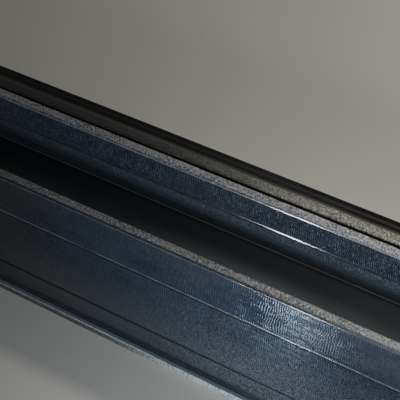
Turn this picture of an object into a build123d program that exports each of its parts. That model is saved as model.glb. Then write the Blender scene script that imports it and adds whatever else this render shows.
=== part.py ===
from build123d import *
import os

os.makedirs("parts", exist_ok=True)

# A pulled glass fibre section, lying on its two legs.
# X runs along the length, Y across it, Z up. The near flange is on the -Y side.
# The origin is the middle of the length and of the width, at the bottom.

# Stock length
length = 2000.0

# Flanges and web
wall = 9.5
web_wall = 9.5
height = 100.0
bay_width = 75.0
bay_depth = 35.0
web_fillet = 4.0

# Far rib, with the narrow slot between it and the far flange
slot_width = 4.5
rib_wall = 10.0
slot_fillet = 1.5

# Ledge along the outer edge of the rib
ledge_width = 16.5
ledge_drop = 2.0
ledge_thickness = 7.0
ledge_fillet = 2.5
ledge_round = 1.5
rib_shoulder = 1.8

# Foot lip along the bottom of the near flange
foot_width = 6.0
foot_height = 5.0
foot_fillet = 3.0

# Edges of the flange tips: the skin is rounded over the near arris
arris_round = 1.2
edge_round = 0.5

# Die lines along the faces
ridge_radius = 1.1
ridge_height = 0.5
far_ridge_depth = 20.0
near_ridge_depth = 29.0
ledge_ridge_inset = 7.5
groove_radius = 0.8
groove_depth = 0.5
groove_level = 78.3

# Places of the walls across the width
width = foot_width + 2 * wall + bay_width + slot_width + rib_wall + ledge_width
near_face = foot_width - width / 2
bay_near = near_face + wall
bay_far = bay_near + bay_width
slot_near = bay_far + wall
slot_far = slot_near + slot_width
rib_face = slot_far + rib_wall
ledge_edge = rib_face + ledge_width
foot_edge = near_face - foot_width

# Levels of the web and the ledge
web_top = height - bay_depth
web_bottom = web_top - web_wall
ledge_top = height - ledge_drop
ledge_bottom = ledge_top - ledge_thickness


def block(y_low, y_high, z_low, z_high):
    with Locations(((y_low + y_high) / 2, (z_low + z_high) / 2)):
        Rectangle(y_high - y_low, z_high - z_low)


def rounded(sketch, radius, places):
    found = []
    for y, z in places:
        found.append(sketch.vertices().sort_by_distance(Vector(y, z))[0])
    fillet(found, radius)


def ridge(y, z):
    with Locations((y, z)):
        Circle(ridge_radius)


with BuildPart() as profile:
    with BuildSketch(Plane.YZ) as section:
        # Two flanges, the web that carries on under the slot, and the rib
        block(near_face, bay_near, 0, height)
        block(bay_far, slot_near, 0, height)
        block(bay_near, rib_face, web_bottom, web_top)
        block(slot_far, rib_face, web_bottom, height)

        # Ledge outside the rib and foot lip outside the near flange
        block(rib_face, ledge_edge, ledge_bottom, ledge_top)
        block(foot_edge, near_face, 0, foot_height)

        # Inside corners
        web_corners = [(y, z) for y in (bay_near, bay_far) for z in (web_bottom, web_top)]
        rounded(section, web_fillet, web_corners + [(slot_near, web_bottom)])
        rounded(section, slot_fillet, [(slot_near, web_top), (slot_far, web_top)])
        rounded(section, foot_fillet, [(near_face, foot_height)])
        rounded(section, ledge_fillet, [(rib_face, ledge_bottom)])
        rounded(section, rib_shoulder, [(rib_face, height)])

        # Near arris of each tip, where the skin turns over the edge
        rounded(section, arris_round, [(near_face, height), (bay_far, height), (slot_far, height)])

        # Plain edges
        top_edges = [(bay_near, height), (slot_near, height)]
        leg_edges = [(foot_edge, 0), (bay_near, 0), (bay_far, 0), (slot_near, 0)]
        side_edges = [(foot_edge, foot_height), (rib_face, web_bottom)]
        rounded(section, edge_round, top_edges + leg_edges + side_edges)
        rounded(section, ledge_round, [(ledge_edge, ledge_top), (ledge_edge, ledge_bottom)])

        # Raised die lines on the far flange, the near flange and the ledge
        ridge_inset = ridge_radius - ridge_height
        ridge(bay_far + ridge_inset, height - far_ridge_depth)
        ridge(near_face + ridge_inset, height - near_ridge_depth)
        ridge(ledge_edge - ledge_ridge_inset, ledge_top - ridge_inset)

        # Sunk die line low on the near flange
        with Locations((near_face - groove_radius + groove_depth, height - groove_level)):
            Circle(groove_radius, mode=Mode.SUBTRACT)
    extrude(amount=length / 2, both=True)

profile.part.label = "profile"
export_step(profile.part, "parts/profile.step")
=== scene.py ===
import math

import bmesh
import bpy
from mathutils import Matrix, Vector


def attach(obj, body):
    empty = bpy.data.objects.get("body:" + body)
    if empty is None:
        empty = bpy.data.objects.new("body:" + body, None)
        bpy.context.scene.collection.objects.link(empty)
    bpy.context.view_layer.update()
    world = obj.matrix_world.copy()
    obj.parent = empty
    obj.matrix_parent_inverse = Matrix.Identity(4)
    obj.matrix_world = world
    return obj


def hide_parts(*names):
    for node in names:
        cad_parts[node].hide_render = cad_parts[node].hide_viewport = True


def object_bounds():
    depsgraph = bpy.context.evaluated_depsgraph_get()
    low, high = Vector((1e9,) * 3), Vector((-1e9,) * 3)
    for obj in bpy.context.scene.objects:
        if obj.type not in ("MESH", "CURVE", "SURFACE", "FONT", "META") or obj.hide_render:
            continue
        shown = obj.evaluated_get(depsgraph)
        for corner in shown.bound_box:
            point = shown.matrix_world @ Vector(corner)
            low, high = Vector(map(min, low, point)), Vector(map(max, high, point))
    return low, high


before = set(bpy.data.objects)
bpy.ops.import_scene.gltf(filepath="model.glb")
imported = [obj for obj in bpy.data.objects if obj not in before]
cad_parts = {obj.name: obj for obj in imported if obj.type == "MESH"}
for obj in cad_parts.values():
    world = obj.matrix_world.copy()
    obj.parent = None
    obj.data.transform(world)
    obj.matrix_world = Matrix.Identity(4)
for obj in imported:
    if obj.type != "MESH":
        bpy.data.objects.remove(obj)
cadLow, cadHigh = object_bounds()
print("frame loaded, the profile is", round((cadHigh - cadLow).x, 3), "m long")


# the photograph's view: pixels of the 400 x 400 frame, metres and degrees
photoView = {
    "side": 400,
    "focal": 1100,
    "centre": (200.0, 200.0),
    "vanish": (-2340.8, -855.0),  # where all the long lines meet
    "tipRow": 266.0,  # row of the near tip's edge in the middle column
    "offFlange": 46.0,  # how far the view leans off the plumb line
    "height": 0.469,  # above the tips
    "along": 0.30,  # from the middle of the stock
    "nearFace": -0.0595,  # the near flange's outer face, across the stock
    "sensor": 36.0,  # millimetres
    "clip": (0.02, 60.0),
}


def placeCamera(view):
    # the stock's own directions, first as the camera has them and then turned round
    cx, cy = view["centre"]
    away = Vector((view["vanish"][0] - cx, view["vanish"][1] - cy, view["focal"])).normalized()
    towards = Vector((0.0, view["tipRow"] - cy, view["focal"]))
    towards = (towards - away * towards.dot(away)).normalized()
    nearer = away.cross(towards)
    if nearer.y < 0:
        nearer = -nearer
    lean = math.radians(view["offFlange"])
    down = towards * math.cos(lean) + nearer * math.sin(lean)
    across = towards * math.sin(lean) - nearer * math.cos(lean)
    axisX, axisY, axisZ = -away, across, -down
    right = Vector((axisX.x, axisY.x, axisZ.x))
    up = -Vector((axisX.y, axisY.y, axisZ.y))
    back = -Vector((axisX.z, axisY.z, axisZ.z))
    turn = Matrix((right, up, back)).transposed().to_4x4()
    aside = view["nearFace"] - view["height"] * math.tan(lean)
    eye = Vector((view["along"], aside, cadHigh.z + view["height"]))
    cameraData = bpy.data.cameras.new("photoCamera")
    cameraData.sensor_width = view["sensor"]
    cameraData.lens = view["focal"] / view["side"] * view["sensor"]
    cameraData.clip_start, cameraData.clip_end = view["clip"]
    camera = bpy.data.objects.new("photoCamera", cameraData)
    bpy.context.scene.collection.objects.link(camera)
    camera.matrix_world = Matrix.Translation(eye) @ turn
    bpy.context.scene.camera = camera


placeCamera(photoView)
print("camera placed")


# small makers for nodes
def addNode(tree, kind, inputs=None, **settings):
    node = tree.nodes.new(kind)
    for name, value in settings.items():
        setattr(node, name, value)
    for name, value in (inputs or {}).items():
        if isinstance(value, bpy.types.NodeSocket):
            tree.links.new(value, node.inputs[name])
        else:
            node.inputs[name].default_value = value
    return node


def calc(tree, operation, first, second=0.0, third=0.0, clamp=False):
    inputs = {0: first, 1: second, 2: third}
    return addNode(tree, "ShaderNodeMath", inputs, operation=operation, use_clamp=clamp).outputs[0]


def both(tree, first, second):
    return calc(tree, "MULTIPLY", first, second)


def either(tree, first, second):
    return calc(tree, "MAXIMUM", first, second)


def wave(tree, value, length, angle):
    return calc(tree, "SINE", both(tree, calc(tree, "DIVIDE", value, length), angle))


def scaled(tree, vector, factor):
    return addNode(tree, "ShaderNodeVectorMath", {0: vector, 1: factor}, operation="MULTIPLY").outputs["Vector"]


def mixColour(tree, share, first, second):
    inputs = {"Factor": share, "A": first, "B": second}
    return addNode(tree, "ShaderNodeMix", inputs, data_type="RGBA").outputs["Result"]


def mixValue(tree, share, first, second):
    return addNode(tree, "ShaderNodeMix", {"Factor": share, "A": first, "B": second}).outputs["Result"]


def spread(tree, value, low, high, toLow=0.0, toHigh=1.0, smooth=False):
    kind = "SMOOTHSTEP" if smooth else "LINEAR"
    inputs = {"Value": value, "From Min": low, "From Max": high, "To Min": toLow, "To Max": toHigh}
    return addNode(tree, "ShaderNodeMapRange", inputs, interpolation_type=kind).outputs["Result"]


def fromLine(line, ramp):
    # a ramp's two ends, measured from a line of the section
    return line + ramp[0], line + ramp[1]


def noise(tree, vector, along, around, detail, rough, seed):
    # scales are per metre along and round the section
    inputs = {"Vector": vector, "Scale": (along, around, 1.0), "Location": (seed, seed * 0.7, seed * 1.3)}
    stretch = addNode(tree, "ShaderNodeMapping", inputs)
    inputs = {"Vector": stretch.outputs["Vector"], "Scale": 1.0, "Detail": detail, "Roughness": rough}
    return addNode(tree, "ShaderNodeTexNoise", inputs).outputs["Fac"]


# metres, watts and degrees; the strips are narrow along the stock, so their gleam stays in one place on it
lighting = {
    "near": (0.62, 0.74, 0.95),
    "far": (0.72, 0.71, 0.69),
    "turn": (-0.6, 0.5),  # from the near sky to the far one
    "strength": 0.10,
    "areas": {
        "lowStrip": {
            "place": (-0.492, -2.447, 0.32), "aim": (0.12, -0.06, 0.07), "size": (0.10, 0.5),
            "power": 0.32, "colour": (0.86, 0.93, 1.0), "spread": 60.0,
        },
        "highStrip": {
            "place": (-0.66, -2.299, 0.857), "aim": (0.08, 0.025, 0.08), "size": (0.10, 0.20),
            "power": 0.46, "colour": (0.96, 0.98, 1.0), "spread": 60.0,
        },
        "wallPanel": {
            "place": (0.24, -0.31, 0.21), "aim": (0.11, 0.0, 0.085), "size": (0.12, 0.03),
            "power": 0.34, "colour": (0.84, 0.93, 1.0), "spread": 110.0,
        },
        "floorCard": {
            "place": (0.092, -0.165, 0.012), "aim": (0.092, -0.075, 0.095), "size": (0.016, 0.05),
            "power": 0.075, "colour": (0.62, 0.80, 1.0), "spread": 120.0,
        },
        "backPanel": {
            "place": (-0.51, 1.35, 1.75), "aim": (0.10, -0.03, 0.065), "size": (0.14, 0.60),
            "power": 0.20, "colour": (0.84, 0.94, 1.0), "spread": 60.0,
        },
        "sidePanel": {
            "place": (0.16, 0.055, 0.29), "aim": (0.16, 0.055, 0.0), "size": (0.10, 0.03),
            "power": 0.37, "colour": (1.0, 0.99, 0.97), "spread": 170.0,
        },
        "farPanel": {
            "place": (0.50, 1.00, 0.46), "aim": (0.05, 0.45, 0.0), "size": (0.4, 0.3),
            "power": 3.0, "colour": (1.0, 0.97, 0.92), "spread": 150.0,
        },
        "rearPanel": {
            "place": (-0.30, 2.00, 0.36), "aim": (0.0, 0.06, 0.04), "size": (1.2, 0.24),
            "power": 0.9, "colour": (1.0, 0.98, 0.95), "spread": 90.0,
        },
        "leftPanel": {
            "place": (-2.30, -0.45, 0.26), "aim": (-1.0, 0.0, 0.05), "size": (0.5, 0.3),
            "power": 0.8, "colour": (1.0, 0.98, 0.96), "spread": 70.0,
        },
        "rightPanel": {
            "place": (2.30, 0.45, 0.26), "aim": (1.0, 0.0, 0.05), "size": (0.5, 0.3),
            "power": 0.8, "colour": (1.0, 0.98, 0.96), "spread": 70.0,
        },
    },
}


def makeWorld(setting):
    world = bpy.data.worlds.new("studio")
    bpy.context.scene.world = world
    world.use_nodes = True
    tree = world.node_tree
    background = tree.nodes["Background"]
    background.inputs["Strength"].default_value = setting["strength"]
    facing = addNode(tree, "ShaderNodeTexCoord").outputs["Generated"]
    parts = addNode(tree, "ShaderNodeSeparateXYZ", {"Vector": facing})
    side = spread(tree, parts.outputs["Y"], *setting["turn"])
    sky = mixColour(tree, side, (*setting["near"], 1.0), (*setting["far"], 1.0))
    tree.links.new(sky, background.inputs["Color"])


def makeArea(name, setting):
    lightData = bpy.data.lights.new(name, "AREA")
    lightData.shape = "RECTANGLE"
    lightData.size, lightData.size_y = setting["size"]
    lightData.energy = setting["power"]
    lightData.color = setting["colour"]
    lightData.spread = math.radians(setting["spread"])
    light = bpy.data.objects.new(name, lightData)
    bpy.context.scene.collection.objects.link(light)
    light.location = setting["place"]
    facing = Vector(setting["aim"]) - Vector(setting["place"])
    light.rotation_euler = facing.to_track_quat("-Z", "Y").to_euler()
    light.visible_camera = False


makeWorld(lighting)
for areaName, areaSetting in lighting["areas"].items():
    makeArea(areaName, areaSetting)
print("lights set")


def newGroup(name, inputs, outputs):
    # an input without a value is a vector
    group = bpy.data.node_groups.new(name, "ShaderNodeTree")
    for label, value in inputs.items():
        kind = "NodeSocketVector" if value is None else "NodeSocketFloat"
        socket = group.interface.new_socket(name=label, in_out="INPUT", socket_type=kind)
        if value is not None:
            socket.default_value = value
    for label in outputs:
        group.interface.new_socket(name=label, in_out="OUTPUT", socket_type="NodeSocketFloat")
    return group, group.nodes.new("NodeGroupInput").outputs, group.nodes.new("NodeGroupOutput")


def endGroup(group, end, results):
    for name, value in results.items():
        group.links.new(value, end.inputs[name])
    return group


# in each pattern a noise has its scale along and round the section, detail, roughness and seed,
# and a ramp has its two ends and, where they are not 0 and 1, its two results; other pairs are
# what a value is multiplied by and what is added
clothPattern = {
    "tow": 0.0021,
    "row": 0.0027,
    "waver": 0.010,
    "drift": (26.0, 62.0, 2.0, 0.5, 0.0),
    "sway": (60.0, 60.0, 2.0, 0.5, 3.0),
    "patch": (75.0, 110.0, 3.0, 0.6, 9.0),  # where the rows give way to straight tows
    "patchRamp": (0.38, 0.62),
    "patchLift": (0.3, 0.7),
    "weaveShare": 0.8,
    "fibre": (760.0, 210.0, 3.0, 0.62, 1.0),
    "fibreShare": 0.9,
    "streakRamp": (0.45, 1.15),
    "speck": (1150.0, 420.0, 2.0, 0.6, 5.0),
    "speckWeave": 0.22,
    "speckRamp": (0.66, 0.84),
}


def makeClothWeave(look):
    # glass cloth under the resin: crosswise tows in loose rows
    inputs = {"Vector": None, "Tow": look["tow"], "Row": look["row"], "Waver": look["waver"]}
    group, start, end = newGroup("clothWeave", inputs, ["Height", "Streak", "Speck"])
    vector = start["Vector"]
    parts = addNode(group, "ShaderNodeSeparateXYZ", {"Vector": vector}).outputs
    drift = calc(group, "SUBTRACT", noise(group, vector, *look["drift"]), 0.5)
    along = calc(group, "MULTIPLY_ADD", drift, start["Waver"], parts["X"])
    sway = calc(group, "SUBTRACT", noise(group, vector, *look["sway"]), 0.5)
    around = calc(group, "MULTIPLY_ADD", sway, start["Waver"], parts["Y"])
    towWave = wave(group, along, start["Tow"], 2 * math.pi)
    rowWave = wave(group, around, start["Row"], math.pi)
    crossed = calc(group, "MULTIPLY_ADD", both(group, towWave, rowWave), 0.5, 0.5)
    straight = calc(group, "MULTIPLY_ADD", towWave, 0.5, 0.5)
    patch = spread(group, noise(group, vector, *look["patch"]), *look["patchRamp"])
    weave = both(group, mixValue(group, patch, crossed, straight), look["weaveShare"])
    lifted = both(group, weave, calc(group, "MULTIPLY_ADD", patch, *look["patchLift"]))
    fibre = noise(group, vector, *look["fibre"])
    height = calc(group, "MULTIPLY_ADD", fibre, look["fibreShare"], lifted)
    speck = calc(group, "MULTIPLY_ADD", weave, look["speckWeave"], noise(group, vector, *look["speck"]))
    return endGroup(group, end, {
        "Height": height,
        "Streak": spread(group, height, *look["streakRamp"]),
        "Speck": spread(group, speck, *look["speckRamp"]),
    })


diePattern = {
    "broad": (2.0, 420.0, 2.0, 0.5, 2.0),
    "fine": (5.0, 1700.0, 1.0, 0.5, 4.0),
    "fineShare": 0.5,
}


def makeDieLines(look):
    # fine scores that the die leaves along the stock
    group, start, end = newGroup("dieLines", {"Vector": None}, ["Height"])
    broad = noise(group, start["Vector"], *look["broad"])
    fine = noise(group, start["Vector"], *look["fine"])
    return endGroup(group, end, {"Height": calc(group, "MULTIPLY_ADD", fine, look["fineShare"], broad)})


grimePattern = {
    "cloud": (14.0, 34.0, 4.0, 0.6, 0.0),
    "ramp": (0.36, 0.68),
}


def makeGrime(look):
    # large soft patches of dust and handling
    group, start, end = newGroup("grime", {"Vector": None, "Seed": 0.0}, ["Mask"])
    inputs = {0: start["Vector"], 1: start["Seed"]}
    shifted = addNode(group, "ShaderNodeVectorMath", inputs, operation="ADD").outputs["Vector"]
    cloud = noise(group, shifted, *look["cloud"])
    return endGroup(group, end, {"Mask": spread(group, cloud, *look["ramp"], smooth=True)})


glassPattern = {
    "slant": 24.0,  # degrees
    "hatch": (740.0, 330.0, 2.0, 0.6, 0.0),
    "strands": (70.0, 1100.0, 2.0, 0.55, 6.0),
    "strandRamp": (0.40, 0.60, 0.05, 0.45),
    "grit": (980.0, 860.0, 2.0, 0.7, 11.0),
    "gritRamp": (0.40, 0.62),
    "cloud": (48.0, 150.0, 3.0, 0.6, 8.0),
    "cloudShare": 0.2,
    "toneRamp": (0.50, 0.70),
    "warmRamp": (0.42, 0.62),
}


def makeGroundGlass(look):
    # bared glass rovings: fine slanting hatch from the saw, with strands running along the stock
    group, start, end = newGroup("groundGlass", {"Vector": None}, ["Height", "Tone", "Grit", "Warm"])
    vector = start["Vector"]
    inputs = {"Vector": vector, "Rotation": (0.0, 0.0, math.radians(look["slant"]))}
    slanted = addNode(group, "ShaderNodeMapping", inputs).outputs["Vector"]
    hatch = noise(group, slanted, *look["hatch"])
    strands = noise(group, vector, *look["strands"])
    grit = noise(group, vector, *look["grit"])
    cloud = noise(group, vector, *look["cloud"])
    height = mixValue(group, spread(group, cloud, *look["strandRamp"]), hatch, strands)
    tone = calc(group, "MULTIPLY_ADD", cloud, look["cloudShare"], height)
    return endGroup(group, end, {
        "Height": height,
        "Tone": spread(group, tone, *look["toneRamp"]),
        "Grit": spread(group, grit, *look["gritRamp"]),
        "Warm": spread(group, cloud, *look["warmRamp"]),
    })


grainPattern = {
    "tow": 0.0016,
    "row": 0.0017,
    "woven": 0.8,
    "amount": 0.5,
    "drift": (28.0, 60.0, 2.0, 0.5, 22.0),
    "driftAlong": 0.007,
    "driftAround": -0.005,
    "fine": (1350.0, 800.0, 1.0, 0.5, 21.0),
    "fineRamp": (0.34, 0.66, -1.0, 1.0),
    "fineShare": 0.8,
}


def makeGrain(look):
    # finest grain, a factor round 1 that goes up and down by Amount; Woven sets it in the cloth's rows
    inputs = {"Vector": None, "Tow": look["tow"], "Row": look["row"], "Woven": look["woven"],
              "Amount": look["amount"]}
    group, start, end = newGroup("grain", inputs, ["Factor"])
    vector = start["Vector"]
    parts = addNode(group, "ShaderNodeSeparateXYZ", {"Vector": vector}).outputs
    drift = calc(group, "SUBTRACT", noise(group, vector, *look["drift"]), 0.5)
    along = calc(group, "MULTIPLY_ADD", drift, look["driftAlong"], parts["X"])
    around = calc(group, "MULTIPLY_ADD", drift, look["driftAround"], parts["Y"])
    towWave = wave(group, along, start["Tow"], 2 * math.pi)
    rowWave = wave(group, around, start["Row"], 2 * math.pi)
    lattice = both(group, both(group, towWave, rowWave), start["Woven"])
    fine = spread(group, noise(group, vector, *look["fine"]), *look["fineRamp"])
    swing = calc(group, "MULTIPLY_ADD", fine, look["fineShare"], lattice)
    return endGroup(group, end, {"Factor": calc(group, "MULTIPLY_ADD", swing, start["Amount"], 1.0)})


def makeSoftBand():
    # 1 within a band of a coordinate, fading out over its soft edge
    inputs = {"Value": 0.0, "Centre": 0.0, "Half": 0.001, "Soft": 0.0003}
    group, start, end = newGroup("softBand", inputs, ["Mask"])
    away = calc(group, "ABSOLUTE", calc(group, "SUBTRACT", start["Value"], start["Centre"]))
    past = calc(group, "DIVIDE", calc(group, "SUBTRACT", away, start["Half"]), start["Soft"])
    return endGroup(group, end, {"Mask": calc(group, "SUBTRACT", 1.0, past, clamp=True)})


groups = {
    "weave": makeClothWeave(clothPattern),
    "dieLines": makeDieLines(diePattern),
    "grime": makeGrime(grimePattern),
    "groundGlass": makeGroundGlass(glassPattern),
    "grain": makeGrain(grainPattern),
    "band": makeSoftBand(),
}


def useGroup(tree, name, inputs):
    return addNode(tree, "ShaderNodeGroup", inputs, node_tree=groups[name]).outputs


def band(tree, value, centre, width):
    # the width is half of the band and then its soft edge
    inputs = {"Value": value, "Centre": centre, "Half": width[0], "Soft": width[1]}
    return useGroup(tree, "band", inputs)["Mask"]


def startMaterial(name):
    material = bpy.data.materials.new(name)
    material.use_nodes = True
    tree = material.node_tree
    flat = addNode(tree, "ShaderNodeUVMap", None, uv_map="alongAround").outputs["UV"]
    return material, tree, tree.nodes["Principled BSDF"], flat


def objectAxes(tree):
    spot = addNode(tree, "ShaderNodeTexCoord").outputs["Object"]
    parts = addNode(tree, "ShaderNodeSeparateXYZ", {"Vector": spot}).outputs
    return parts["X"], parts["Y"], parts["Z"]


def addBump(tree, shader, height, distance):
    bump = addNode(tree, "ShaderNodeBump", {"Height": height, "Strength": 1.0, "Distance": distance})
    tree.links.new(bump.outputs["Normal"], shader.inputs["Normal"])


def addTangent(tree, shader):
    tangent = addNode(tree, "ShaderNodeTangent", None, direction_type="UV_MAP", uv_map="alongAround")
    tree.links.new(tangent.outputs["Tangent"], shader.inputs["Tangent"])


# in each look a band is half of its width and its soft edge, and the rest is as in the patterns;
# ramps and bands are in metres along, across or up, where they are not results of a noise
skinLook = {
    "deep": (0.005, 0.009, 0.017, 1.0),
    "cloth": (0.022, 0.037, 0.064, 1.0),
    "clothFaint": (0.8, 0.1),  # streaks outside the bay
    "wallCloth": (0.080, 0.094, 0.126, 1.0),  # the bay's far wall is less rubbed, so its cloth shows more
    "speck": (0.15, 0.18, 0.23, 1.0),
    "speckShare": 0.25,
    "wallSpeck": (0.34, 0.35, 0.38, 1.0),
    "wallSpeckShare": 0.5,
    "underFar": 0.08,  # a little paler below the far ridge
    "dust": (0.062, 0.066, 0.071, 1.0),
    "grimeShare": 0.35,
    "lowDust": (0.022, 0.066, 0.95, 0.0),  # more dust low on the near face
    "topDust": (0.080, 0.098, 0.0, 0.28),  # and a little along its top
    "leftShadeGrey": (0.034, 0.031, 0.028, 1.0),  # painted shade: the near face turns grey towards the left end
    "leftShadeRamp": (-0.14, -0.03, 0.75, 0.0),
    "turn": (0.022, 0.024, 0.027, 1.0),  # painted shade where the near face starts to turn into the foot
    "footShadeZ": 0.0067,
    "footShadeBand": (0.0008, 0.0008),
    "footShadeRamp": (0.0003, 0.0006),
    "lip": (0.190, 0.197, 0.197, 1.0),  # the foot's scuffed top
    "lipRamp": (-0.0036, -0.0020),
    "calm": (0.005, 0.006, 0.007, 1.0),  # crests of the die lines
    "lowWall": (0.075, 0.087, 0.098, 1.0),
    "lowWallRamp": (0.0690, 0.0745, 1.0, 0.0),  # the cloth sinks under clear resin low in the bay
    "groove": (0.002, 0.002, 0.003, 1.0),
    "grooveShare": 0.8,
    "ridgeShadeDrop": 0.0012,  # painted shade, a dark line this far below the near ridge
    "bayBand": (0.0052, 0.0005),
    "nearBand": (0.0012, 0.0004),
    "crestBand": (0.0007, 0.0005),
    "grooveBand": (0.0004, 0.0011),
    "ridgeShadeBand": (0.0003, 0.0005),
    "tow": 0.0017,  # width of the cloth's tows, and of the finer ones on the wall and low on the near face
    "fineTow": 0.0014,
    "grain": 0.74,
    "topGrain": 0.15,  # on the near face above its ridge
    "wallGrain": 0.8,  # share of the grain inside the bay
    "grainRamp": (-0.05, 0.09, 0.15, 1.0),  # stronger to the right, where the skin is cleaner
    "row": 0.0017,  # the grain's rows round the section
    "wallRow": 0.0050,
    "roughness": (0.26, 0.10),  # rougher with the cloth's streaks
    "wallRoughness": 0.24,
    "grimeRoughness": 0.05,
    "crestRoughness": 0.16,
    "lowWallRoughness": 0.34,
    "footRoughness": 0.6,
    "grooveRoughness": 0.7,
    "anisotropy": 0.8,
    "anisotropyTurn": 0.25,
    "specular": 0.3,
    "topRelief": 1.35,  # the cloth stands out more on the near face above its ridge
    "dieShare": 0.35,
    "bump": 0.00010,
}


def makeWovenSkin(look, at):
    material, tree, shader, flat = startMaterial("wovenSkin")
    x, y, z = objectAxes(tree)
    grime = useGroup(tree, "grime", {"Vector": flat})["Mask"]
    lines = useGroup(tree, "dieLines", {"Vector": flat})["Height"]
    nearWall = band(tree, y, at["near"], look["nearBand"])
    bayWall = band(tree, y, at["bayFar"], look["bayBand"])
    finer = either(tree, bayWall, calc(tree, "LESS_THAN", z, at["nearRidgeZ"]))
    tow = mixValue(tree, finer, look["tow"], look["fineTow"])
    weave = useGroup(tree, "weave", {"Vector": flat, "Tow": tow})
    # calm places: low on the bay's far wall, and the crests of the die lines
    lowWall = both(tree, bayWall, spread(tree, z, *look["lowWallRamp"], smooth=True))
    farCrest = both(tree, bayWall, band(tree, z, at["farRidgeZ"], look["crestBand"]))
    nearCrest = both(tree, nearWall, band(tree, z, at["nearRidgeZ"], look["crestBand"]))
    crests = either(tree, farCrest, nearCrest)
    rest = calc(tree, "SUBTRACT", 1.0, either(tree, lowWall, crests), clamp=True)
    groove = band(tree, z, at["grooveZ"], look["grooveBand"])
    # painted shade: a dark line under the near ridge, darkened along with the groove
    shadeUnderRidge = band(tree, z, at["nearRidgeZ"] - look["ridgeShadeDrop"], look["ridgeShadeBand"])
    groove = both(tree, nearWall, either(tree, groove, shadeUnderRidge))
    # cloth, dust and specks
    faint = calc(tree, "MULTIPLY_ADD", weave["Streak"], *look["clothFaint"])
    streak = both(tree, mixValue(tree, bayWall, faint, weave["Streak"]), rest)
    cloth = mixColour(tree, bayWall, look["cloth"], look["wallCloth"])
    colour = mixColour(tree, streak, look["deep"], cloth)
    dusty = either(tree, spread(tree, z, *look["lowDust"]), spread(tree, z, *look["topDust"]))
    dusty = either(tree, both(tree, grime, look["grimeShare"]), both(tree, nearWall, dusty))
    colour = mixColour(tree, both(tree, dusty, rest), colour, look["dust"])
    # painted shade: greyer towards the left end of the near face
    shadeToLeft = spread(tree, x, *look["leftShadeRamp"], smooth=True)
    colour = mixColour(tree, both(tree, nearWall, shadeToLeft), colour, look["leftShadeGrey"])
    speck = mixColour(tree, bayWall, look["speck"], look["wallSpeck"])
    speckShare = mixValue(tree, bayWall, look["speckShare"], look["wallSpeckShare"])
    speckled = both(tree, weave["Speck"], both(tree, rest, speckShare))
    colour = mixColour(tree, speckled, colour, speck)
    underFar = both(tree, bayWall, calc(tree, "LESS_THAN", z, at["farRidgeZ"]))
    colour = mixColour(tree, both(tree, underFar, look["underFar"]), colour, speck)
    # finest grain over all of it
    amount = spread(tree, x, *look["grainRamp"], smooth=True)
    amount = both(tree, amount, mixValue(tree, finer, look["topGrain"], look["grain"]))
    amount = both(tree, amount, mixValue(tree, bayWall, 1.0, look["wallGrain"]))
    row = mixValue(tree, bayWall, look["row"], look["wallRow"])
    grain = useGroup(tree, "grain", {"Vector": flat, "Row": row, "Amount": amount})
    colour = scaled(tree, colour, grain["Factor"])
    # the foot with painted shade in its turn, the calm places, and the groove with painted shade under the near
    # ridge
    # painted shade in the concave turn from the near face into the foot
    onFillet = spread(tree, y, *fromLine(at["near"], look["footShadeRamp"]), 1.0, 0.0)
    turn = both(tree, onFillet, band(tree, z, look["footShadeZ"], look["footShadeBand"]))
    colour = mixColour(tree, turn, colour, look["turn"])
    lip = spread(tree, y, *fromLine(at["near"], look["lipRamp"]), 1.0, 0.0)
    colour = mixColour(tree, lip, colour, look["lip"])
    colour = mixColour(tree, crests, colour, look["calm"])
    colour = mixColour(tree, lowWall, colour, look["lowWall"])
    colour = mixColour(tree, both(tree, groove, look["grooveShare"]), colour, look["groove"])
    tree.links.new(colour, shader.inputs["Base Color"])
    rough = calc(tree, "MULTIPLY_ADD", weave["Streak"], *look["roughness"])
    rough = mixValue(tree, bayWall, rough, look["wallRoughness"])
    rough = calc(tree, "MULTIPLY_ADD", grime, look["grimeRoughness"], rough)
    rough = mixValue(tree, crests, rough, look["crestRoughness"])
    rough = mixValue(tree, lowWall, rough, look["lowWallRoughness"])
    rough = mixValue(tree, either(tree, turn, lip), rough, look["footRoughness"])
    rough = mixValue(tree, groove, rough, look["grooveRoughness"])
    tree.links.new(rough, shader.inputs["Roughness"])
    shader.inputs["Anisotropic"].default_value = look["anisotropy"]
    shader.inputs["Anisotropic Rotation"].default_value = look["anisotropyTurn"]
    shader.inputs["Specular IOR Level"].default_value = look["specular"]
    addTangent(tree, shader)
    raised = mixValue(tree, finer, look["topRelief"], 1.0)
    relief = both(tree, weave["Height"], both(tree, rest, raised))
    addBump(tree, shader, calc(tree, "MULTIPLY_ADD", lines, look["dieShare"], relief), look["bump"])
    return material


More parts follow.
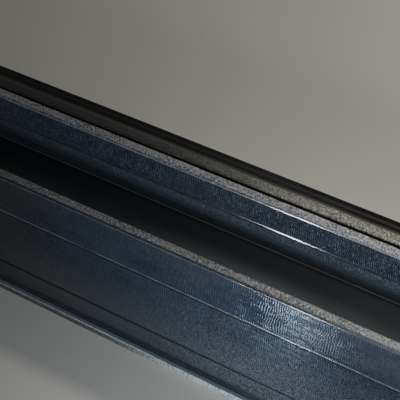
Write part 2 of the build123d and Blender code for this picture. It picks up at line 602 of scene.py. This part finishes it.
resinLook = {
    "deep": (0.006, 0.006, 0.0065, 1.0),
    "dust": (0.011, 0.011, 0.0115, 1.0),
    "seed": 7.0,
    "farDust": (0.0160, 0.0180, 0.0190, 1.0),  # on the half of the bay's floor by the far wall
    "farRamp": (-0.018, 0.006, 0.0, 0.9),
    "filletDust": (0.046, 0.056, 0.060, 1.0),
    "filletUp": 0.0030,  # above the bay's floor
    "filletBand": (0.0024, 0.0005),
    "line": (0.320, 0.302, 0.266, 1.0),  # edge of the cloth on the bay's floor, painted pale as a highlight where the floor meets the fillet
    "lineY": 0.0215,
    "lineBand": (0.0004, 0.0003),
    "lineShare": 0.7,
    "floorBand": (0.001, 0.0003),
    "ledge": (0.0030, 0.0027, 0.0023, 1.0),
    "ledgePale": (0.160, 0.147, 0.125, 1.0),  # dust where the ledge meets the rib
    "paleFrom": (-0.0020, -0.0018),
    "paleTo": (-0.001, 0.006),
    "paleShare": 0.9,
    "paleGrime": (0.0, 1.0, 0.6, 1.0),
    "slotDust": (0.150, 0.135, 0.105, 1.0),
    "slotBand": (0.0024, 0.0004),
    "slotGrime": (0.0, 1.0, 0.4, 0.9),
    "past": (0.0, 0.0005),  # soft edge past the rib or the bay
    "roughness": 0.14,
    "bayRoughness": 0.30,
    "filletRoughness": 0.34,
    "ridgeRoughness": 0.85,  # the ledge's ridge is dull
    "ridgeBand": (0.0013, 0.0003),
    "grimeRoughness": 0.05,
    "bump": 0.00003,
}


def makeGlossResin(look, at):
    material, tree, shader, flat = startMaterial("glossResin")
    y, z = objectAxes(tree)[1:]
    grime = useGroup(tree, "grime", {"Vector": flat, "Seed": look["seed"]})["Mask"]
    lines = useGroup(tree, "dieLines", {"Vector": flat})["Height"]
    # the bay's floor and fillets
    colour = mixColour(tree, grime, look["deep"], look["dust"])
    colour = mixColour(tree, spread(tree, y, *look["farRamp"], smooth=True), colour, look["farDust"])
    onFillet = band(tree, z, at["webTop"] + look["filletUp"], look["filletBand"])
    colour = mixColour(tree, onFillet, colour, look["filletDust"])
    onFloor = band(tree, z, at["webTop"], look["floorBand"])
    # the cloth's edge, with a painted highlight along the fillet's foot
    edge = both(tree, band(tree, y, look["lineY"], look["lineBand"]), onFloor)
    colour = mixColour(tree, both(tree, edge, look["lineShare"]), colour, look["line"])
    # the ledge and the slot
    onLedge = spread(tree, y, *fromLine(at["rib"], look["past"]))
    colour = mixColour(tree, onLedge, colour, look["ledge"])
    byRib = both(tree, spread(tree, y, *fromLine(at["rib"], look["paleFrom"])),
                 spread(tree, y, *fromLine(at["rib"], look["paleTo"]), look["paleShare"], 0.0, True))
    byRib = both(tree, byRib, spread(tree, grime, *look["paleGrime"]))
    colour = mixColour(tree, byRib, colour, look["ledgePale"])
    inSlot = band(tree, y, (at["slotNear"] + at["slotFar"]) / 2, look["slotBand"])
    inSlot = both(tree, inSlot, spread(tree, grime, *look["slotGrime"]))
    colour = mixColour(tree, inSlot, colour, look["slotDust"])
    tree.links.new(colour, shader.inputs["Base Color"])
    pastBay = spread(tree, y, *fromLine(at["bayFar"], look["past"]))
    bayRough = mixValue(tree, onFillet, look["bayRoughness"], look["filletRoughness"])
    rough = mixValue(tree, calc(tree, "SUBTRACT", 1.0, pastBay, clamp=True), look["roughness"], bayRough)
    onRidge = both(tree, onLedge, band(tree, y, at["ledgeRidgeY"], look["ridgeBand"]))
    rough = mixValue(tree, onRidge, rough, look["ridgeRoughness"])
    rough = calc(tree, "MULTIPLY_ADD", grime, look["grimeRoughness"], rough)
    tree.links.new(rough, shader.inputs["Roughness"])
    addBump(tree, shader, lines, look["bump"])
    return material


crestLook = {
    "colour": (0.044, 0.052, 0.064),
    "wear": (90.0, 900.0, 3.0, 0.65, 0.0),
    "wearRamp": (0.30, 0.55, 0.35, 1.0),
    "nearBand": (0.002, 0.001),
    "under": (0.003, 0.004, 0.006, 1.0),  # painted shade below the near ridge, on its lower flank that faces down
    "underRamp": (-0.0003, -0.0001),
    "ridgeWorn": (0.105, 0.118, 0.136, 1.0),
    "ridgeUp": 0.0003,
    "ridgeBand": (0.0004, 0.0003),
    "patches": (45.0, 1.0, 2.0, 0.6, 4.0),
    "patchRamp": (0.40, 0.58, 0.45, 1.15),
    "arrisWorn": (0.230, 0.245, 0.265, 1.0),
    "arrisRamp": (-0.0016, -0.0012),
    "nearShare": 0.34,  # the near arris is less worn
    "roughness": 0.08,
    "wornRoughness": 0.06,
    "wornRamp": (0.5, 0.75),
    "underRoughness": 0.5,
    "specular": 0.8,
    "dots": 0.35,  # the crosswise tows break the near ridge's shine into dots
    "dotsRamp": (0.002, 0.003),
    "tow": 0.0016,
    "waver": 3.0,
    "bump": 0.00002,
}


def makePolishedCrest(look, at):
    material, tree, shader, flat = startMaterial("polishedCrest")
    y, z = objectAxes(tree)[1:]
    wear = noise(tree, flat, *look["wear"])
    scuffed = spread(tree, wear, *look["wearRamp"])
    patchy = spread(tree, noise(tree, flat, *look["patches"]), *look["patchRamp"])
    onNear = band(tree, y, at["near"], look["nearBand"])
    # painted shade under the near ridge
    under = spread(tree, z, *fromLine(at["nearRidgeZ"], look["underRamp"]), 1.0, 0.0)
    under = both(tree, onNear, under)
    ridgeWorn = both(tree, onNear, band(tree, z, at["nearRidgeZ"] + look["ridgeUp"], look["ridgeBand"]))
    ridgeWorn = calc(tree, "MULTIPLY", ridgeWorn, both(tree, scuffed, patchy), clamp=True)
    arrisWorn = both(tree, spread(tree, z, *fromLine(at["top"], look["arrisRamp"])), scuffed)
    arrisWorn = both(tree, arrisWorn, mixValue(tree, onNear, 1.0, look["nearShare"]))
    colour = mixColour(tree, under, scaled(tree, look["colour"], scuffed), look["under"])
    colour = mixColour(tree, ridgeWorn, colour, look["ridgeWorn"])
    colour = mixColour(tree, arrisWorn, colour, look["arrisWorn"])
    tree.links.new(colour, shader.inputs["Base Color"])
    worn = spread(tree, wear, *look["wornRamp"])
    rough = calc(tree, "MULTIPLY_ADD", worn, look["wornRoughness"], look["roughness"])
    rough = mixValue(tree, under, rough, look["underRoughness"])
    tree.links.new(rough, shader.inputs["Roughness"])
    shader.inputs["Specular IOR Level"].default_value = look["specular"]
    onRidge = spread(tree, z, *fromLine(at["nearRidgeZ"], look["dotsRamp"]), 1.0, 0.0)
    along = addNode(tree, "ShaderNodeSeparateXYZ", {"Vector": flat}).outputs["X"]
    turns = calc(tree, "MULTIPLY_ADD", along, 2 * math.pi / look["tow"], both(tree, wear, look["waver"]))
    tows = both(tree, calc(tree, "SINE", turns), both(tree, onNear, onRidge))
    addBump(tree, shader, calc(tree, "MULTIPLY_ADD", tows, look["dots"], wear), look["bump"])
    return material


tipLook = {
    "dark": (0.040, 0.041, 0.044, 1.0),
    "pale": (0.290, 0.293, 0.300, 1.0),
    "warm": (0.150, 0.135, 0.110, 1.0),
    "warmShare": 0.35,
    "nearToneAndShade": (-0.16, -0.05, 0.36, 0.68),  # the near tip is the greyest, and painted shade darkens it to the left
    "ribDark": (0.010, 0.009, 0.008, 1.0),  # the rib's tip is coarser and browner, and darker to the left along the stock
    "ribPale": (0.252, 0.238, 0.203, 1.0),
    "ribTone": (-0.07, 0.085, 0.15, 1.0),
    "ribWaver": 0.05,
    "grain": (0.02, 0.13, 0.0, 0.75),
    "grainScale": (0.65, 0.85, 1.0),
    "foot": (0.55, 0.60, 0.61, 1.0),  # scuffed pale
    "footRamp": (0.001, 0.002),
    "footScuff": (0.0, 0.7, 0.35, 0.95),
    "footShadeAlong": (-0.12, 0.02, 0.6, 1.0),
    "footFace": (0.0040, 0.0045, 1.0, 0.0),
    "footFaceShade": (-0.025, 0.045, 0.22, 1.0),  # painted shade on the foot's upright face, darker to the left
    "nearSeam": 0.22,  # what is left of the near tip's tone where the skin turns over it
    "nearSeamIn": 0.0013,
    "nearSeamBand": (0.0007, 0.0004),
    "bayEdgeBand": (0.0008, 0.0003),
    "farSeam": 0.6,
    "farSeamIn": 0.0010,
    "farSeamBand": (0.0003, 0.0003),
    "roughness": 0.5,
    "bump": 0.00030,
}


def makeGroundTip(look, at):
    material, tree, shader, flat = startMaterial("groundTip")
    x, y, z = objectAxes(tree)
    glass = useGroup(tree, "groundGlass", {"Vector": flat})
    colour = mixColour(tree, glass["Tone"], look["dark"], look["pale"])
    colour = mixColour(tree, both(tree, glass["Warm"], look["warmShare"]), colour, look["warm"])
    # painted shade: the near tip darkens to the left
    nearToneAndShade = spread(tree, x, *look["nearToneAndShade"], smooth=True)
    tone = mixValue(tree, spread(tree, y, at["bayNear"], at["bayFar"]), nearToneAndShade, 1.0)
    colour = scaled(tree, colour, tone)
    # the rib's tip, darker to the left along the stock
    waver = calc(tree, "SUBTRACT", glass["Warm"], 0.5)
    waver = calc(tree, "MULTIPLY_ADD", waver, look["ribWaver"], x)
    ribTone = spread(tree, waver, *look["ribTone"], smooth=True)
    ribColour = scaled(tree, mixColour(tree, glass["Grit"], look["ribDark"], look["ribPale"]), ribTone)
    colour = mixColour(tree, spread(tree, y, at["slotNear"], at["slotFar"]), colour, ribColour)
    # finest grain, to the right
    amount = spread(tree, x, *look["grain"], smooth=True)
    inputs = {"Vector": scaled(tree, flat, look["grainScale"]), "Woven": 0.0, "Amount": amount}
    colour = scaled(tree, colour, useGroup(tree, "grain", inputs)["Factor"])
    # the foot's edge, with painted shade to the left
    onFoot = spread(tree, y, *fromLine(at["footEdge"], look["footRamp"]), 1.0, 0.0)
    # painted shade: the pale scuff fades to the left
    scuffed = both(tree, spread(tree, glass["Tone"], *look["footScuff"]),
                   spread(tree, x, *look["footShadeAlong"], smooth=True))
    colour = mixColour(tree, both(tree, onFoot, scuffed), colour, look["foot"])
    onFace = both(tree, onFoot, spread(tree, z, *look["footFace"]))
    # painted shade: the foot's upright face darkens to the left
    footShaded = mixValue(tree, onFace, 1.0, spread(tree, x, *look["footFaceShade"], smooth=True))
    colour = scaled(tree, colour, footShaded)
    # the skin that turns over the near tip's edges is dark, and the far tip's seam is faint
    nearSeam = band(tree, y, at["near"] + look["nearSeamIn"], look["nearSeamBand"])
    nearSeam = either(tree, nearSeam, band(tree, y, at["bayNear"], look["bayEdgeBand"]))
    farSeam = band(tree, y, at["bayFar"] + look["farSeamIn"], look["farSeamBand"])
    seam = both(tree, mixValue(tree, nearSeam, 1.0, look["nearSeam"]),
                mixValue(tree, farSeam, 1.0, look["farSeam"]))
    colour = scaled(tree, colour, seam)
    tree.links.new(colour, shader.inputs["Base Color"])
    shader.inputs["Roughness"].default_value = look["roughness"]
    addBump(tree, shader, glass["Height"], look["bump"])
    return material


endLook = {
    "dark": (0.035, 0.036, 0.036, 1.0),
    "pale": (0.22, 0.225, 0.22, 1.0),
    "roughness": 0.7,
    "bump": 0.00035,
}


def makeSawnCore(look):
    material, tree, shader, flat = startMaterial("sawnCore")
    glass = useGroup(tree, "groundGlass", {"Vector": flat})
    colour = mixColour(tree, glass["Grit"], look["dark"], look["pale"])
    tree.links.new(colour, shader.inputs["Base Color"])
    shader.inputs["Roughness"].default_value = look["roughness"]
    addBump(tree, shader, glass["Height"], look["bump"])
    return material


# the section, in metres, as the solid has it
section = {
    "wall": 0.0095,
    "webWall": 0.0095,
    "bayWidth": 0.075,
    "bayDepth": 0.035,
    "slotWidth": 0.0045,
    "ribWall": 0.010,
    "ledgeDrop": 0.002,
    "ledgeThickness": 0.007,
    "footWidth": 0.006,
    "footHeight": 0.005,
    "farRidge": 0.0204,  # below the tips
    "farRidgeOut": 0.000594,
    "nearRidge": 0.0296,
    "nearRidgeOut": 0.000388,
    "ledgeRidge": 0.0075,  # in from the ledge's edge
    "ledgeRidgeUp": 0.0006,
    "ridgeHalf": 0.00105,  # half of a ridge's width
    "nearRidgeHalf": 0.0008,
    "groove": 0.0783,  # below the tips
    "grooveHalf": 0.0008,
    "grooveIn": 0.00055,
    "seam": 0.0021,  # line on two of the tips where the skin meets the rovings
    "seamHalf": 0.0002,
    "seamDepth": 0.0003,
    "arrisIn": 0.00120,  # the worn flat on the skin's turn over those tips
    "arrisDrop": 0.0011,
    "arrisFlat": 0.0009,
    "nearArris": 24.6,  # its lean in degrees
    "farArris": 28.7,
    "cuts": 80,  # rings along the length
    "sharp": 22.0,  # degrees
}
# rounding in metres and how many steps it has
roundings = {
    "web": (0.004, 10),
    "slot": (0.0015, 5),
    "ledgeUnder": (0.0025, 6),
    "ledge": (0.0015, 6),
    "shoulder": (0.0018, 6),
    "foot": (0.003, 8),
    "arris": (0.0012, 7),
    "plain": (0.0005, 5),
    "crest": (0.0004, 4),
    "turn": (0.0003, 4),
}


def measureSection(size):
    # where the section's lines are in the frame
    near = cadLow.y + size["footWidth"]
    bayNear = near + size["wall"]
    bayFar = bayNear + size["bayWidth"]
    slotNear = bayFar + size["wall"]
    slotFar = slotNear + size["slotWidth"]
    webTop = cadHigh.z - size["bayDepth"]
    ledgeTop = cadHigh.z - size["ledgeDrop"]
    return {
        "footEdge": cadLow.y,
        "near": near,
        "bayNear": bayNear,
        "bayFar": bayFar,
        "slotNear": slotNear,
        "slotFar": slotFar,
        "rib": slotFar + size["ribWall"],
        "ledgeRidgeY": cadHigh.y - size["ledgeRidge"],
        "edge": cadHigh.y,
        "top": cadHigh.z,
        "ledgeTop": ledgeTop,
        "ledgeLow": ledgeTop - size["ledgeThickness"],
        "farRidgeZ": cadHigh.z - size["farRidge"],
        "nearRidgeZ": cadHigh.z - size["nearRidge"],
        "webTop": webTop,
        "webLow": webTop - size["webWall"],
        "grooveZ": cadHigh.z - size["groove"],
    }


sectionLines = measureSection(section)


def sectionCorners(at, size):
    # each corner and its rounding, going round with the stock on the left
    def seam(y):
        half, low = size["seamHalf"], at["top"] - size["seamDepth"]
        return [(y + half, at["top"], None), (y, low, None), (y - half, at["top"], None)]

    def arris(y, lean):
        turn = math.radians(lean)
        low = at["top"] - size["arrisDrop"]
        worn = (y + size["arrisFlat"] * math.sin(turn), low + size["arrisFlat"] * math.cos(turn), "turn")
        return [(y + size["arrisIn"], at["top"], None), worn, (y, low, None)]

    def crest(y, z, out, half):
        return [(y, z + half, None), (y - out, z, "crest"), (y, z - half, None)]

    half = size["ridgeHalf"]
    return [
        (at["footEdge"], 0.0, "plain"), (at["bayNear"], 0.0, "plain"),
        (at["bayNear"], at["webLow"], "web"), (at["bayFar"], at["webLow"], "web"),
        (at["bayFar"], 0.0, "plain"), (at["slotNear"], 0.0, "plain"),
        (at["slotNear"], at["webLow"], "web"), (at["rib"], at["webLow"], "plain"),
        (at["rib"], at["ledgeLow"], "ledgeUnder"), (at["edge"], at["ledgeLow"], "ledge"),
        (at["edge"], at["ledgeTop"], "ledge"),
        (at["ledgeRidgeY"] + half, at["ledgeTop"], None),
        (at["ledgeRidgeY"], at["ledgeTop"] + size["ledgeRidgeUp"], "crest"),
        (at["ledgeRidgeY"] - half, at["ledgeTop"], None),
        (at["rib"], at["ledgeTop"], None), (at["rib"], at["top"], "shoulder"),
        (at["slotFar"], at["top"], "arris"),
        (at["slotFar"], at["webTop"], "slot"), (at["slotNear"], at["webTop"], "slot"),
        (at["slotNear"], at["top"], "plain"), *seam(at["bayFar"] + size["seam"]),
        *arris(at["bayFar"], size["farArris"]),
        *crest(at["bayFar"], at["farRidgeZ"], size["farRidgeOut"], half),
        (at["bayFar"], at["webTop"], "web"), (at["bayNear"], at["webTop"], "web"),
        (at["bayNear"], at["top"], "plain"), *seam(at["near"] + size["seam"]),
        *arris(at["near"], size["nearArris"]),
        *crest(at["near"], at["nearRidgeZ"], size["nearRidgeOut"], size["nearRidgeHalf"]),
        *crest(at["near"], at["grooveZ"], -size["grooveIn"], size["grooveHalf"]),
        (at["near"], size["footHeight"], "foot"), (at["footEdge"], size["footHeight"], "plain"),
    ]


# how far each finish reaches from the section's lines, in metres, and which way its faces look
finishLimits = {
    "tip": 0.00035,
    "tipLean": 0.1,
    "turned": (0.0003, 0.0026),  # from a skinned tip's face to past its seam
    "turnedUp": 0.5,
    "bared": 0.0013,  # the plain edges of the tips are ground too
    "baredDrop": 0.0012,
    "baredUp": 0.05,
    "shoulder": 0.0018,
    "foot": 0.0006,
    "crestOut": 0.001,
    "arrisDrop": (0.0003, 0.00115),
    "arrisUp": (0.3, 0.6),
    "arrisOut": -0.7,
    "rounded": 0.0019,
    "fillet": 0.0042,
    "under": 0.001,
    "pastRib": 0.00005,
    "slack": 0.0001,
}


def nameFinish(at, size, limit, middle, normal):
    # which finish a face along the section has
    y, z = middle.y, middle.z
    slack = limit["slack"]
    turned = any(limit["turned"][0] < y - side < limit["turned"][1] for side in (at["near"], at["bayFar"]))
    level = normal.z > limit["turnedUp"] if turned else abs(normal.y) < limit["tipLean"]
    onTip = level and z > at["top"] - limit["tip"]
    bared = any(abs(y - side) < limit["bared"] for side in (at["bayNear"], at["slotNear"], at["slotFar"]))
    bared = bared and z > at["top"] - limit["baredDrop"] and normal.z > limit["baredUp"]
    onShoulder = abs(y - at["rib"]) < limit["shoulder"] and z > at["top"] - limit["shoulder"]
    onShoulder = onShoulder and normal.z > limit["turnedUp"]
    if onTip or bared or onShoulder or y < at["footEdge"] + limit["foot"]:
        return "groundTip"
    onFarCrest = at["bayFar"] - limit["crestOut"] < y < at["bayFar"] + slack
    onFarCrest = onFarCrest and abs(z - at["farRidgeZ"]) < size["ridgeHalf"]
    onNearCrest = y < at["near"] + slack and abs(z - at["nearRidgeZ"]) < size["nearRidgeHalf"]
    onArris = at["top"] - limit["arrisDrop"][1] < z < at["top"] - limit["arrisDrop"][0]
    onArris = onArris and limit["arrisUp"][0] < normal.z < limit["arrisUp"][1] and normal.y < limit["arrisOut"]
    if onFarCrest or onNearCrest or onArris:
        return "polishedCrest"
    inBay = at["bayNear"] - slack < y < at["bayFar"]
    inBay = inBay and at["webTop"] - limit["under"] < z < at["webTop"] + limit["fillet"]
    onLedge = y > at["rib"] + limit["pastRib"] and z > at["ledgeLow"] + limit["under"]
    inSlot = at["slotNear"] - slack < y < at["slotFar"] + slack and z > at["webTop"] - limit["under"]
    if inBay or onLedge or inSlot or z > at["top"] - limit["rounded"]:
        return "glossResin"
    return "wovenSkin"


def isEnd(face):
    return abs(face.normal.x) > 0.9


def makeProfile(size, at, limit, finishes):
    shape = bmesh.new()
    around = shape.verts.layers.float.new("around")
    corners = [(shape.verts.new((cadLow.x, y, z)), kind) for y, z, kind in sectionCorners(at, size)]
    shape.faces.new([vert for vert, kind in corners])
    for name, (radius, steps) in roundings.items():
        chosen = [vert for vert, kind in corners if kind == name]
        bmesh.ops.bevel(shape, geom=chosen, offset=radius, segments=steps, profile=0.5, affect="VERTICES",
                        material=-1)
    shape.faces.ensure_lookup_table()
    endFace = shape.faces[0]
    run = 0.0
    ring = [loop.vert for loop in endFace.loops]
    for vert, following in zip(ring, ring[1:] + ring[:1]):
        vert[around] = run
        run += (following.co - vert.co).length
    print("section has", len(ring), "points and is", round(run, 4), "m round")
    length = cadHigh.x - cadLow.x
    grown = bmesh.ops.extrude_face_region(shape, geom=[endFace])["geom"]
    grownVerts = [item for item in grown if isinstance(item, bmesh.types.BMVert)]
    bmesh.ops.translate(shape, verts=grownVerts, vec=(length, 0.0, 0.0))
    longEdges = [edge for edge in shape.edges if edge.calc_length() > length / 2]
    bmesh.ops.subdivide_edges(shape, edges=longEdges, cuts=size["cuts"], use_grid_fill=True)
    bmesh.ops.recalc_face_normals(shape, faces=shape.faces)
    ends = [face for face in shape.faces if isEnd(face)]
    ends = bmesh.ops.triangulate(shape, faces=ends, quad_method="BEAUTY", ngon_method="EAR_CLIP")["faces"]
    print("each sawn end is", round(sum(face.calc_area() for face in ends) / 2 * 1e4, 2), "cm2")
    uvLayer = shape.loops.layers.uv.new("alongAround")
    slots = list(finishes)
    for face in shape.faces:
        if isEnd(face):
            face.material_index = slots.index("sawnCore")
            for loop in face.loops:
                loop[uvLayer].uv = (loop.vert.co.y, loop.vert.co.z)
            continue
        finish = nameFinish(at, size, limit, face.calc_center_median(), face.normal)
        face.material_index = slots.index(finish)
        runs = [loop.vert[around] for loop in face.loops]
        wraps = max(runs) - min(runs) > run / 2
        for loop, value in zip(face.loops, runs):
            loop[uvLayer].uv = (loop.vert.co.x, value + run if wraps and value < run / 2 else value)
        face.smooth = True
    data = bpy.data.meshes.new("profileStock")
    shape.to_mesh(data)
    openEdges = sum(1 for edge in shape.edges if not edge.is_manifold)
    print("profile has", len(shape.faces), "faces and", openEdges, "open edges")
    shape.free()
    data.set_sharp_from_angle(angle=math.radians(size["sharp"]))
    for material in finishes.values():
        data.materials.append(material)
    stock = bpy.data.objects.new("profileStock", data)
    bpy.context.scene.collection.objects.link(stock)
    even = stock.modifiers.new("evenShading", "WEIGHTED_NORMAL")
    even.keep_sharp = True
    even.weight = 100
    return stock


stock = makeProfile(section, sectionLines, finishLimits, {
    "wovenSkin": makeWovenSkin(skinLook, sectionLines),
    "glossResin": makeGlossResin(resinLook, sectionLines),
    "groundTip": makeGroundTip(tipLook, sectionLines),
    "sawnCore": makeSawnCore(endLook),
    "polishedCrest": makePolishedCrest(crestLook, sectionLines),
})
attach(stock, "root")
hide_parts("profile")
print("profile made")


floorLook = {"size": 4.0, "colour": (0.60, 0.57, 0.51, 1.0), "roughness": 0.8}


def makeFloor(look):
    shape = bmesh.new()
    bmesh.ops.create_grid(shape, x_segments=1, y_segments=1, size=look["size"])
    data = bpy.data.meshes.new("paleFloor")
    shape.to_mesh(data)
    shape.free()
    floor = bpy.data.objects.new("paleFloor", data)
    bpy.context.scene.collection.objects.link(floor)
    material = bpy.data.materials.new("paleFloor")
    material.use_nodes = True
    shader = material.node_tree.nodes["Principled BSDF"]
    shader.inputs["Base Color"].default_value = look["colour"]
    shader.inputs["Roughness"].default_value = look["roughness"]
    data.materials.append(material)


makeFloor(floorLook)
print("floor made")
